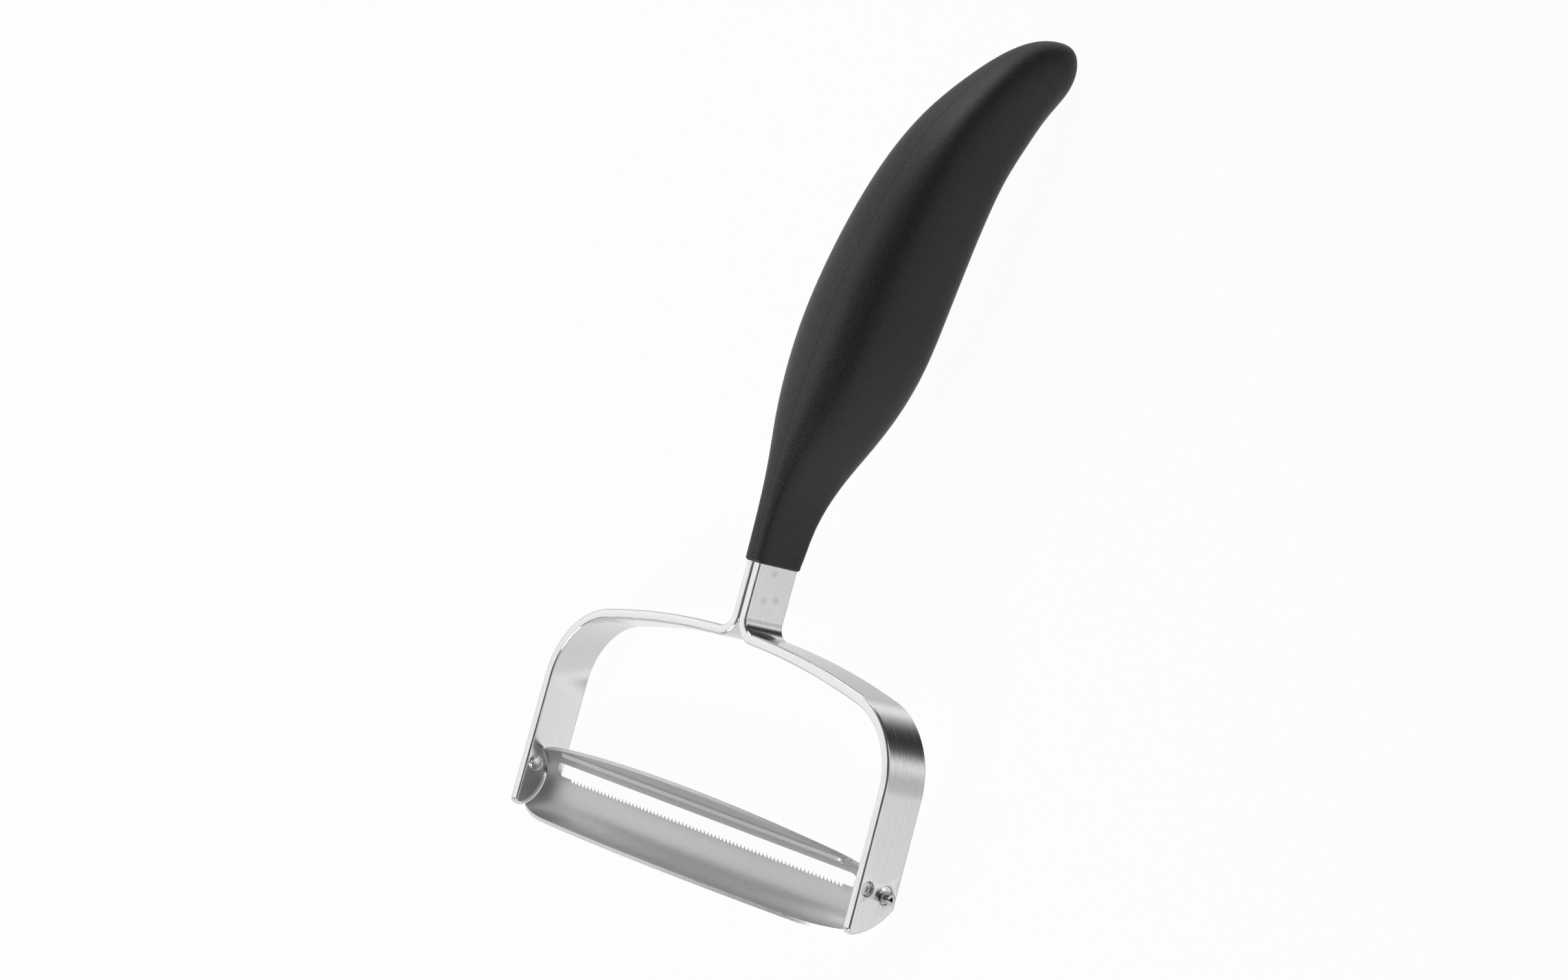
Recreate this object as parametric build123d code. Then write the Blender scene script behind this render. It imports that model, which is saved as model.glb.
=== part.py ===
from build123d import *
from math import acos, asin, atan2, cos, degrees, hypot, pi, radians, sin, sqrt, tan
from pathlib import Path

# Cheese slicer: a moulded handle, a yoke of two bent steel strips, and a serrated trough blade
# that swings between the yoke's arms. It lies on its back, as it is put down on a table.
# While it is modelled, x runs across, y from front to back and z up the handle,
# with z = 0 where the strips part below the handle. The last lines lay it down.

out = Path(__file__).parent / "parts"
out.mkdir(exist_ok=True)

# The two strips of the yoke
strip_width = 10.0
strip_thickness = 2.1
strip_edge_radius = 0.45
tang_length = 33.0              # from the parting of the strips up into the handle
tang_shown_length = 10.7        # bare tang below the handle
bend_radius = 3.95              # of the strip's middle, where it leaves the tang
bend_turn = 88.0
shoulder_start_length = 0.7     # straight, between the bend and the shoulder's long curve
shoulder_radius = 185.0
shoulder_turn = 10.3
corner_radius = 16.0
arm_flare = 0.8                 # degrees that each arm leans outwards
arm_length = 27.1               # straight arm, from the corner to its front tip
arm_end_radius = 14.5           # the arm's end is cut round, short at the back
arm_end_height = 6.0            # how much higher the cut ends at the back
arm_tip_radius = 1.2

# The pivot holes and the stops pressed out of the arms
pin_radius = 1.1
hole_radius = 1.65
hole_bevel_width = 0.5
pin_rest_gap = 0.06             # the pin lies in the hole's lower front, all but touching it
pin_rest_turn = 40.0            # degrees below the front
pivot_height = 8.3              # above the arm's tip
pivot_offset = 1.7              # behind the strip's middle
stop_radius = 1.45
stop_height = 0.8               # proud of the arm's inner face
stop_edge_radius = 0.2
stop_offset = 2.9               # in front of the strip's middle
stop_rise_height = 0.9          # above the pivot
recess_depth = 1.2              # behind the stop, in the arm's outer face
recess_bevel_width = 0.35

# The blade: a round-bottomed trough, open to the front
blade_thickness = 0.7
blade_end_gap = 0.5
trough_radius = 7.4             # of the sheet's middle
trough_half_turn = 81.4         # degrees of round on each side of the back line
trough_turn = -13.3             # degrees that the whole blade is swung at rest
trough_pivot_depth = 0.35       # the pivot lies behind the back line
trough_pivot_height = 3.35      # and above it
rim_depth_middle = 11.75        # both rims bow outwards and are deepest halfway along
lower_rim_depth_end = 2.3
upper_rim_depth_end = 4.0
slot_top_height = 6.1           # along the sheet, up from the back line
slot_bottom_height = 3.05
slot_end_gap = 3.8              # between the slot and each end of the blade
slot_end_radius = 1.3
teeth_end_gap = 4.6             # flat edge between the last tooth and the slot's end
tooth_pitch = 1.12
tooth_depth = 0.65
tooth_tip_width = 0.08
bead_middle_height = 8.55       # along the sheet: the stiffening bead in the guard bar
bead_half_width = 1.2
bead_height = 0.5
bead_end_gap = 6.2
pin_proud_length = 2.0
pin_root_length = 0.7           # of the rolled pin, inside the trough's end
pin_bore_radius = 0.55
pin_seam_width = 0.14
relief_width = 0.7
relief_depth = 1.3
relief_offset = 1.75

# The handle
handle_length = 114.5
handle_half_width = 11.65
handle_half_depth = 11.9
handle_corner_radius = 4.6
handle_end_radius = 0.6
handle_reach_depth = 46.0       # how far the tip bends behind the tang's front face
overrun_length = 5.0            # how far cutting tools stand out
surface_tolerance = 0.01        # for finding how low the finished shapes reach


def prism(face_on_yz, x_low, x_high):
    """A solid with this y-z outline between two places across."""
    return extrude(Pos(x_low, 0, 0) * face_on_yz, x_high - x_low, dir=(1, 0, 0))


def rod(radius, y, z, x_low, x_high):
    """A round bar that runs across."""
    length = x_high - x_low
    return Pos((x_low + x_high) / 2, y, z) * Rot(0, 90, 0) * Cylinder(radius, length)


# The strip's path, walked from the tang's top with its heading in degrees from straight down
corner_turn = bend_turn - shoulder_turn - arm_flare
moves = [
    ("straight", tang_length, 0),
    ("curve", bend_radius, bend_turn),
    ("straight", shoulder_start_length, 0),
    ("curve", shoulder_radius, -shoulder_turn),
    ("curve", corner_radius, -corner_turn),
    ("straight", arm_length, 0),
]
place = Vector(strip_thickness / 2, 0, tang_length)
heading = 0.0
steps = []
for kind, size, turn in moves:
    before = heading
    after = heading + turn
    if kind == "straight":
        end = place + Vector(sin(radians(before)), 0, -cos(radians(before))) * size
        steps.append(Line(place, end))
    else:
        side = 1 if turn > 0 else -1
        centre = place + Vector(cos(radians(before)), 0, sin(radians(before))) * (size * side)
        spot = []
        for at in ((before + after) / 2, after):
            spot.append(centre - Vector(cos(radians(at)), 0, sin(radians(at))) * (size * side))
        steps.append(ThreePointArc(place, spot[0], spot[1]))
        end = spot[1]
    place = end
    heading = after
arm_end = place
tip_level = arm_end.Z
strip_section = Plane(origin=(strip_thickness / 2, 0, tang_length), x_dir=(1, 0, 0), z_dir=(0, 0, -1))
strip_section = strip_section * RectangleRounded(strip_thickness, strip_width, strip_edge_radius)
arm = sweep(strip_section, path=Wire(steps))

# The arm's lower end is cut round, from the long front tip up to the short back edge
front = -strip_width / 2
back = strip_width / 2
end_back = tip_level + arm_end_height
chord = hypot(strip_width, arm_end_height)
rise = sqrt(arm_end_radius**2 - (chord / 2) ** 2)
end_centre_y = (front + back) / 2 - arm_end_height / chord * rise
end_centre_z = (tip_level + end_back) / 2 + strip_width / chord * rise
start_angle = atan2(tip_level - end_centre_z, front - end_centre_y)
end_angle = atan2(end_back - end_centre_z, back - end_centre_y)
half_way = (start_angle + end_angle) / 2
middle_y = end_centre_y + arm_end_radius * cos(half_way)
middle_z = end_centre_z + arm_end_radius * sin(half_way)
keep_top = end_back + strip_width
keep_outline = [
    Line((front, keep_top), (front, tip_level)),
    ThreePointArc((front, tip_level), (middle_y, middle_z), (back, end_back)),
    Line((back, end_back), (back + overrun_length, end_back)),
    Line((back + overrun_length, end_back), (back + overrun_length, keep_top)),
    Line((back + overrun_length, keep_top), (front, keep_top)),
]
keep_face = make_face(Wire(keep_outline))
tip_corner = keep_face.vertices().sort_by_distance((front, tip_level, 0))[0]
keep_face = fillet(tip_corner, arm_tip_radius)
waste_middle_z = (keep_top + tip_level - overrun_length) / 2
waste_height = keep_top - tip_level + overrun_length
waste_face = Pos(0, waste_middle_z) * Rectangle(strip_width + 2 * overrun_length, waste_height)
waste_face = waste_face - keep_face
arm = arm - prism(Plane.YZ * waste_face, arm_end.X - overrun_length, arm_end.X + overrun_length)

# The pivot hole and the stop, square to the blade's axis
pivot_y = pivot_offset
pivot_z = tip_level + pivot_height
arm_middle = arm_end.X - pivot_height * tan(radians(arm_flare))
arm_half = strip_thickness / 2 / cos(radians(arm_flare))
arm_inside = arm_middle - arm_half
arm_outside = arm_middle + arm_half
pin_shift = hole_radius - pin_radius - pin_rest_gap
hole_y = pivot_y + pin_shift * cos(radians(pin_rest_turn))
hole_z = pivot_z + pin_shift * sin(radians(pin_rest_turn))
arm = arm - rod(hole_radius, hole_y, hole_z, arm_inside - overrun_length, arm_outside + overrun_length)
bevel_cone = Cone(hole_radius, hole_radius + 2 * hole_bevel_width, 2 * hole_bevel_width)
arm = arm - Pos(arm_outside, hole_y, hole_z) * Rot(0, 90, 0) * bevel_cone

stop_y = -stop_offset
stop_z = pivot_z + stop_rise_height
stop_lean = stop_rise_height * tan(radians(arm_flare))
recess_floor = arm_outside - stop_lean - recess_depth
arm = arm - rod(stop_radius, stop_y, stop_z, recess_floor, arm_outside + overrun_length)
bevel_cone = Cone(stop_radius, stop_radius + 2 * recess_bevel_width, 2 * recess_bevel_width)
arm = arm - Pos(arm_outside - stop_lean, stop_y, stop_z) * Rot(0, 90, 0) * bevel_cone
stop_end = arm_inside - stop_lean - stop_height
stop_bar = rod(stop_radius, stop_y, stop_z, stop_end, arm_middle - stop_lean - strip_thickness / 4)
stop_bar = fillet(stop_bar.edges().sort_by(Axis.X)[0], stop_edge_radius)
arm = arm + stop_bar
right_arm = arm.solids()[0]
left_arm = mirror(right_arm, about=Plane.YZ)

# The blade, in its own place: the back line of the trough at y = z = 0, open towards -y
blade_half = arm_inside - blade_end_gap
slot_half_length = blade_half - slot_end_gap
bead_half_length = blade_half - bead_end_gap
half_turn = radians(trough_half_turn)


def on_trough(angle, radius):
    """A point at this angle above the back line and distance from the trough's centre."""
    return (radius * cos(angle) - trough_radius, radius * sin(angle))


outer = trough_radius + blade_thickness / 2
inner = trough_radius - blade_thickness / 2
wall_end = rim_depth_middle + overrun_length
wall_sides = []
for radius in (outer, inner):
    top_y, top_z = on_trough(half_turn, radius)
    far_z = top_z + (wall_end + top_y) / tan(half_turn)
    wall_sides.append([(-wall_end, far_z), (top_y, top_z), on_trough(0, radius)])
(outer_far, outer_top, outer_back), (inner_far, inner_top, inner_back) = wall_sides


def below(point):
    """The same point on the trough's lower side."""
    return (point[0], -point[1])


trough_outline = [
    Line(outer_far, outer_top),
    ThreePointArc(outer_top, outer_back, below(outer_top)),
    Line(below(outer_top), below(outer_far)),
    Line(below(outer_far), below(inner_far)),
    Line(below(inner_far), below(inner_top)),
    ThreePointArc(below(inner_top), inner_back, inner_top),
    Line(inner_top, inner_far),
    Line(inner_far, outer_far),
]
trough = prism(Plane.YZ * make_face(Wire(trough_outline)), -blade_half, blade_half)

# Both rims are cut to an arc, seen from above
for end_depth, side in ((lower_rim_depth_end, -1), (upper_rim_depth_end, 1)):
    rim = [
        Line((-blade_half, overrun_length), (-blade_half, -end_depth)),
        ThreePointArc((-blade_half, -end_depth), (0, -rim_depth_middle), (blade_half, -end_depth)),
        Line((blade_half, -end_depth), (blade_half, overrun_length)),
        Line((blade_half, overrun_length), (-blade_half, overrun_length)),
    ]
    whole_width = 2 * blade_half + 2 * overrun_length
    whole = Pos(0, -wall_end / 2) * Rectangle(whole_width, wall_end + 2 * overrun_length)
    trimming = extrude(whole - make_face(Wire(rim)), (outer + overrun_length) * side)
    trough = trough - trimming

# The slot, cut square through the sheet, with its teeth in the lower edge
slot_angle = (slot_top_height + slot_bottom_height) / 2 / trough_radius
slot_half_angle = (slot_top_height - slot_bottom_height) / 2 / trough_radius
slot_half_width = trough_radius * sin(slot_half_angle)


def on_sheet(angle):
    """A plane touching the sheet's middle, its x across and its y up along the sheet."""
    y, z = on_trough(angle, trough_radius)
    return Plane(origin=(0, y, z), x_dir=(1, 0, 0), z_dir=(0, -cos(angle), -sin(angle)))


slot_face = RectangleRounded(2 * slot_half_length, 2 * slot_half_width, slot_end_radius)
tooth_count = round(2 * (slot_half_length - teeth_end_gap) / tooth_pitch)
teeth_half = tooth_count * tooth_pitch / 2
tooth_line = -slot_half_width
gullet_steps = []
start = (-teeth_half - tooth_pitch / 2 + tooth_tip_width / 2, tooth_line)
first = start
for number in range(tooth_count + 1):
    middle = -teeth_half + number * tooth_pitch
    reach = (tooth_pitch - tooth_tip_width) / 2
    gullet_steps.append(ThreePointArc(
        (middle - reach, tooth_line), (middle, tooth_line - tooth_depth), (middle + reach, tooth_line)))
    if number < tooth_count:
        gullet_steps.append(Line((middle + reach, tooth_line), (middle + tooth_pitch - reach, tooth_line)))
last = (teeth_half + tooth_pitch / 2 - tooth_tip_width / 2, tooth_line)
gullet_steps.append(Line(last, (last[0], 0)))
gullet_steps.append(Line((last[0], 0), (first[0], 0)))
gullet_steps.append(Line((first[0], 0), first))
slot_face = slot_face + make_face(Wire(gullet_steps))
slot_reach = trough_radius / 4
slot_tool = extrude(on_sheet(slot_angle) * slot_face, slot_reach, both=True)
trough = trough - slot_tool

# The guard bar's bead: pressed inwards, with a groove behind it
bead_angle = bead_middle_height / trough_radius
side_height = inner - sqrt(inner**2 - bead_half_width**2)
bead_sagitta = bead_height - side_height
bead_radius = (bead_half_width**2 + bead_sagitta**2) / (2 * bead_sagitta)
bead_centre = on_trough(bead_angle, inner - bead_height + bead_radius)
bead_straight = bead_half_length - bead_half_width


def bead_shape(radius):
    """A long round bar with round ends, on the bead's own centre line."""
    y, z = bead_centre
    far = bead_straight + radius
    near = bead_straight + radius * cos(pi / 4)
    profile = [
        ThreePointArc((-far, 0), (-near, radius * sin(pi / 4)), (-bead_straight, radius)),
        Line((-bead_straight, radius), (bead_straight, radius)),
        ThreePointArc((bead_straight, radius), (near, radius * sin(pi / 4)), (far, 0)),
        Line((far, 0), (-far, 0)),
    ]
    return Pos(0, y, z) * revolve(make_face(Wire(profile)), Axis.X, 360)


core = rod(trough_radius, -trough_radius, 0, -blade_half, blade_half)
trough = trough + (bead_shape(bead_radius) & core)
trough = trough - bead_shape(bead_radius - blade_thickness)

# The rolled pins and the relief cuts beside their tabs
pin_y = trough_pivot_depth
pin_z = trough_pivot_height
pin_angle = atan2(pin_z, pin_y + trough_radius)
pin_length = arm_outside + pin_proud_length - blade_half + pin_root_length
relief_shape = SlotOverall(2 * relief_depth, relief_width)
for side in (-1, 1):
    for offset in (-relief_offset, relief_offset):
        cut_at = Pos(side * blade_half, offset) * relief_shape
        trough = trough - extrude(on_sheet(pin_angle) * cut_at, slot_reach, both=True)
pin_end = Circle(pin_radius) - RegularPolygon(pin_bore_radius, 3, rotation=90)
seam_length = pin_radius + overrun_length
pin_end = pin_end - Pos(0, seam_length / 2) * Rectangle(pin_seam_width, seam_length)
for side in (-1, 1):
    low = side * (blade_half - pin_root_length)
    along_sheet = (0, -sin(pin_angle), cos(pin_angle))
    pin_plane = Plane(origin=(low, pin_y, pin_z), x_dir=along_sheet, z_dir=(side, 0, 0))
    pin = extrude(pin_plane * pin_end, pin_length)
    trough = trough + pin
blade = trough.solids().sort_by(SortBy.VOLUME)[-1]
blade = Pos(0, -pin_y, -pin_z) * blade
blade = Pos(0, pivot_y, pivot_z) * Rot(trough_turn, 0, 0) * blade

# The handle: a loft through sections square to its curved axis. Each row of shares holds the height
# and the depth of the section's middle, the axis's slope there, the half width and depth, the corner
# and the squareness. The slope is in handle reaches over handle lengths, so it follows both sizes.
handle_station_shares = [
    (0.010, 0.000, 0.000, 0.226, 0.490, 0.16, 8.0),
    (0.050, 0.006, 0.000, 0.236, 0.515, 0.17, 8.0),
    (0.100, 0.018, 0.000, 0.275, 0.565, 0.24, 7.0),
    (0.160, 0.045, 0.043, 0.390, 0.670, 0.40, 5.5),
    (0.230, 0.083, 0.174, 0.640, 0.795, 0.65, 4.5),
    (0.308, 0.128, 0.262, 0.880, 0.905, 0.84, 4.0),
    (0.393, 0.170, 0.350, 0.990, 0.980, 0.96, 4.0),
    (0.490, 0.214, 0.529, 1.000, 0.990, 1.00, 4.0),
    (0.590, 0.270, 0.809, 0.970, 0.950, 1.00, 4.0),
    (0.690, 0.345, 1.161, 0.900, 0.885, 0.94, 4.0),
    (0.780, 0.448, 1.679, 0.790, 0.800, 0.84, 4.0),
    (0.850, 0.570, 2.404, 0.670, 0.730, 0.76, 3.5),
    (0.905, 0.690, 3.555, 0.540, 0.660, 0.66, 3.0),
    (0.938, 0.790, 4.681, 0.430, 0.570, 0.55, 2.6),
    (0.959, 0.872, 5.591, 0.305, 0.420, 0.40, 2.3),
    (0.971, 0.915, 6.161, 0.180, 0.250, 0.25, 2.2),
    (0.975, 0.932, 6.161, 0.070, 0.095, 0.10, 2.1),
]
outline_count = 32
outline_fine_count = 24


def handle_outline(half_width, half_depth, corner, squareness):
    """Points of a rounded box outline, evenly spaced round it from the front's middle."""
    power = squareness / (squareness - 1)
    across = half_width - corner
    deep = half_depth - corner
    fine = []
    count = outline_count * outline_fine_count
    for number in range(count):
        angle = 2 * pi * number / count
        c, s = sin(angle), -cos(angle)
        reach = (abs(across * c) ** power + abs(deep * s) ** power) ** (1 / power)
        px = across * (abs(across * c) / reach) ** (power - 1) * (1 if c >= 0 else -1)
        py = deep * (abs(deep * s) / reach) ** (power - 1) * (1 if s >= 0 else -1)
        fine.append((px + corner * c, py + corner * s))
    along = [0.0]
    for number in range(count):
        a = fine[number]
        b = fine[(number + 1) % count]
        along.append(along[-1] + hypot(b[0] - a[0], b[1] - a[1]))
    points = []
    spot = 0
    for number in range(outline_count):
        target = along[-1] * number / outline_count
        while along[spot + 1] < target:
            spot += 1
        part_way = (target - along[spot]) / (along[spot + 1] - along[spot])
        a = fine[spot]
        b = fine[(spot + 1) % count]
        points.append((a[0] + (b[0] - a[0]) * part_way, a[1] + (b[1] - a[1]) * part_way))
    return points


sections = []
for up, behind, slope, wide, deep, corner, squareness in handle_station_shares:
    section_lean = atan2(handle_reach_depth * slope, handle_length)
    half_width = handle_half_width * wide
    half_depth = handle_half_depth * deep
    station = Plane(
        origin=(0, handle_reach_depth * behind, tang_shown_length + handle_length * up),
        x_dir=(1, 0, 0),
        z_dir=(0, sin(section_lean), cos(section_lean)),
    )
    points = handle_outline(half_width, half_depth, handle_corner_radius * corner, squareness)
    knots = [number / outline_count for number in range(outline_count + 1)]
    spots = [station.from_local_coords((x, y, 0)) for x, y in points]
    curve = Edge.make_spline(spots, periodic=True, parameters=knots)
    sections.append(Face(Wire([curve])))
collar_length = sections[0].center().Z - tang_shown_length
collar = extrude(sections[0], collar_length, dir=(0, 0, -1))
collar = fillet(collar.edges().sort_by(Axis.Z)[0], handle_end_radius)
handle = loft(sections) + collar
pocket = RectangleRounded(2 * strip_thickness, strip_width, strip_edge_radius)
handle = handle - extrude(pocket, tang_length)
handle = handle.solids().sort_by(SortBy.VOLUME)[-1]

# Laid on its back: the arms' back corners and the handle's bent tip touch the table


def extent(shape):
    """The lowest and the highest corner round a shape, from points on its surface."""
    points = shape.tessellate(surface_tolerance)[0]
    low = Vector(min(p.X for p in points), min(p.Y for p in points), min(p.Z for p in points))
    high = Vector(max(p.X for p in points), max(p.Y for p in points), max(p.Z for p in points))
    return low, high


lean = 0.0
span = handle_length + tang_shown_length - tip_level
for attempt in range(5):
    laid = Rot(lean - 90, 0, 0)
    handle_low = extent(laid * handle)[0]
    arm_low = extent(laid * right_arm)[0]
    lean += degrees(atan2(arm_low.Z - handle_low.Z, span))
laid = Rot(lean - 90, 0, 0)
pieces = {"handle": handle, "right_arm": right_arm, "left_arm": left_arm, "blade": blade}
pieces = {name: laid * piece for name, piece in pieces.items()}
corners = [extent(piece) for piece in pieces.values()]
low_y = min(low.Y for low, high in corners)
high_y = max(high.Y for low, high in corners)
low_z = min(low.Z for low, high in corners)
high_z = max(high.Z for low, high in corners)
down = Pos(0, -(low_y + high_y) / 2, -low_z)
for name, piece in pieces.items():
    export_step(down * piece, str(out / f"{name}.step"))
pivot = down * laid * Pos(0, pivot_y, pivot_z)
print("lean", round(lean, 3), "pivot", pivot.position)
print("long", high_y - low_y, "high", high_z - low_z)
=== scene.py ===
import bmesh
import bpy
from math import acos, asin, atan2, cos, hypot, pi, radians, sin, sqrt, tan
from mathutils import Matrix, Vector
from mathutils.geometry import delaunay_2d_cdt


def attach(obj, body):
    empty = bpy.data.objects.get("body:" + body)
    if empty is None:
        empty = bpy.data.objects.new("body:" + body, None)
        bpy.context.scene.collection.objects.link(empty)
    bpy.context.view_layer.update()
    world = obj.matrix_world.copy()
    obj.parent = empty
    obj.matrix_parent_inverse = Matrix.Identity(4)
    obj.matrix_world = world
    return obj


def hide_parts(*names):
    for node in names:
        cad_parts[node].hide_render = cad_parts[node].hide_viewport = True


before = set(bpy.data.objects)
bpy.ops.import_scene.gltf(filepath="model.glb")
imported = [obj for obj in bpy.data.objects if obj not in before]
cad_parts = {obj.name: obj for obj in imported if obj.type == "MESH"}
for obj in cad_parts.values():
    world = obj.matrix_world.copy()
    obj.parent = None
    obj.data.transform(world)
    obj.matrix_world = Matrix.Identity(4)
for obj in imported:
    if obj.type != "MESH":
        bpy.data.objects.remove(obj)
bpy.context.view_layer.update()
scene = bpy.context.scene

# Handle
# One moulding of black plastic round the steel tang, spark-eroded to a fine matt grain all over.
# The mould's halves meet in the tool's middle plane and leave a hair line down the front.
mm = 0.001
seam_half_width = 0.03 * mm
seam_edge_half_width = 0.14 * mm
grain_depth = 0.11 * mm
moulding_dark = (0.006, 0.0066, 0.0064, 1.0)
moulding_light = (0.024, 0.0255, 0.025, 1.0)


class Wire:
    """One socket of a node tree, so that the sums of a finish read as plain sums."""

    def __init__(self, tree, socket=None):
        self.tree = tree
        self.socket = socket

    def node(self, kind, settings=None, links=None, out=0):
        """A node with its settings first, then the values or links of its sockets."""
        made = self.tree.nodes.new(kind)
        for name, value in (settings or {}).items():
            if name == "stops":
                ramp = made.color_ramp
                while len(ramp.elements) < len(value):
                    ramp.elements.new(1.0)
                for stop, (spot, shade) in zip(ramp.elements, value):
                    stop.position = spot
                    stop.color = (shade, shade, shade, 1.0)
            else:
                setattr(made, name, value)
        for name, value in (links or {}).items():
            if isinstance(value, Wire):
                self.tree.links.new(value.socket, made.inputs[name])
            else:
                made.inputs[name].default_value = value
        return Wire(self.tree, made.outputs[out] if made.outputs else None)

    def part(self, out):
        """Another output of the same node."""
        return Wire(self.tree, self.socket.node.outputs[out])

    def maths(self, operation, first, *others):
        links = {0: first}
        for number, other in enumerate(others):
            links[number + 1] = other
        return self.node("ShaderNodeMath", {"operation": operation}, links)

    def __add__(self, other):
        return self.maths("ADD", self, other)

    def __radd__(self, other):
        return self.maths("ADD", other, self)

    def __sub__(self, other):
        return self.maths("SUBTRACT", self, other)

    def __rsub__(self, other):
        return self.maths("SUBTRACT", other, self)

    def __mul__(self, other):
        return self.maths("MULTIPLY", self, other)

    def __rmul__(self, other):
        return self.maths("MULTIPLY", other, self)

    def __truediv__(self, other):
        return self.maths("DIVIDE", self, other)

    def __abs__(self):
        return self.maths("ABSOLUTE", self)

    def step(self, low, high):
        """0 below low, 1 above high and a smooth rise between them."""
        return self.node("ShaderNodeMapRange", {"interpolation_type": "SMOOTHSTEP"},
                         {"Value": self, "From Min": low, "From Max": high})


def finish(name, colour, metallic, roughness):
    """A new material, its first wire, its main shader and its output."""
    material = bpy.data.materials.new(name)
    material.use_nodes = True
    tree = material.node_tree
    shader = tree.nodes["Principled BSDF"]
    shader.inputs["Base Color"].default_value = (*colour, 1.0)
    shader.inputs["Metallic"].default_value = metallic
    shader.inputs["Roughness"].default_value = roughness
    return material, Wire(tree), shader


plastic, wire, shader = finish("matt_black_moulding", (0.012, 0.0128, 0.0125), 0.0, 0.5)
shader.inputs["Specular IOR Level"].default_value = 0.45
spot = wire.node("ShaderNodeTexCoord", out=3)
grain = wire.node("ShaderNodeTexNoise", {"noise_dimensions": "3D"},
                  {"Vector": spot, "Scale": 3200.0, "Detail": 2.0, "Roughness": 0.6})
coarse = wire.node("ShaderNodeTexNoise", {"noise_dimensions": "3D"},
                   {"Vector": spot, "Scale": 900.0, "Detail": 3.0, "Roughness": 0.55})
handling = wire.node("ShaderNodeTexNoise", {"noise_dimensions": "3D"},
                     {"Vector": spot, "Scale": 55.0, "Detail": 3.0, "Roughness": 0.5})
across = wire.node("ShaderNodeSeparateXYZ", links={0: spot})
seam = 1.0 - abs(across).step(seam_half_width, seam_edge_half_width)
height = grain * 0.6 + coarse * 0.4 + seam * 1.6
bump = wire.node("ShaderNodeBump", links={"Strength": 0.8, "Distance": grain_depth, "Height": height})
wire.tree.links.new(bump.socket, shader.inputs["Normal"])
rough = 0.38 + handling * 0.12 + grain * 0.05
wire.tree.links.new(rough.socket, shader.inputs["Roughness"])
shade = wire.node("ShaderNodeMix", {"data_type": "RGBA"},
                  {0: grain.step(0.35, 0.65), 6: moulding_dark, 7: moulding_light}, out=2)
wire.tree.links.new(shade.socket, shader.inputs["Base Color"])
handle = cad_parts["handle"]
handle.data.materials.clear()
handle.data.materials.append(plastic)

# Yoke arms
# Two mirrored strips of brushed stainless steel with rolled edges, spot-welded back to back at the
# tang, bent out into the shoulder and down to the pivots. Each is a flat blank that is then bent.
# A hole for the pin and a stop pressed through from outside are made near each arm's round end.
strip_width = 10.0 * mm
strip_thickness = 2.1 * mm
strip_edge_radius = 0.45 * mm
tang_length = 33.0 * mm
bend_radius = 3.95 * mm
bend_turn = 88.0
shoulder_start_length = 0.7 * mm
shoulder_radius = 185.0 * mm
shoulder_turn = 10.3
corner_radius = 16.0 * mm
arm_flare = 0.8
arm_length = 27.1 * mm
arm_end_radius = 14.5 * mm
arm_end_height = 6.0 * mm
arm_tip_radius = 1.2 * mm
arm_back_radius = 0.6 * mm
edge_steps = 5
pin_radius = 1.1 * mm
hole_radius = 1.65 * mm
hole_bevel_width = 0.5 * mm
pin_rest_gap = 0.06 * mm
pin_rest_turn = 40.0
pivot_height = 8.3 * mm
pivot_y = 1.7 * mm
stop_radius = 1.45 * mm
stop_height = 0.8 * mm
stop_edge_radius = 0.25 * mm
stop_root_radius = 0.14 * mm
recess_foot_radius = 0.25 * mm
stop_y = -2.9 * mm
stop_rise_height = 0.9 * mm
recess_depth = 1.2 * mm
recess_bevel_width = 0.17 * mm
brush_depth = 0.024 * mm
strip_dark = (0.68, 0.68, 0.69, 1.0)
strip_light = (0.82, 0.82, 0.83, 1.0)
weld_shade = (0.4, 0.4, 0.41, 1.0)
ring_steps = 56
pivot = Vector((0.0, -79.89 * mm, 3.736 * mm))
laid_turn = radians(13.14 - 90)

# The path of the strip's middle, from the tang's top to the arm's tip, seen from the front
corner_turn = bend_turn - shoulder_turn - arm_flare
moves = [
    ("straight", tang_length, 0, 3),
    ("curve", bend_radius, bend_turn, 34),
    ("straight", shoulder_start_length, 0, 1),
    ("curve", shoulder_radius, -shoulder_turn, 16),
    ("curve", corner_radius, -corner_turn, 52),
]
path = [Vector((strip_thickness / 2, 0, tang_length))]
heading = 0.0
for kind, size, turn, count in moves:
    start = path[-1]
    for number in range(1, count + 1):
        if kind == "straight":
            way = Vector((sin(radians(heading)), 0, -cos(radians(heading))))
            path.append(start + way * (size * number / count))
        else:
            side = 1 if turn > 0 else -1
            at = heading + turn * number / count
            centre = start + Vector((cos(radians(heading)), 0, sin(radians(heading)))) * (size * side)
            path.append(centre - Vector((cos(radians(at)), 0, sin(radians(at)))) * (size * side))
    heading += turn
lengths = [0.0]
for before, after in zip(path, path[1:]):
    lengths.append(lengths[-1] + (after - before).length)
arm_start = path[-1]
arm_start_length = lengths[-1]
arm_way = Vector((sin(radians(heading)), 0, -cos(radians(heading))))
path.append(arm_start + arm_way * arm_length)
path_length = arm_start_length + arm_length
tip_level = path[-1].z

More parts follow.
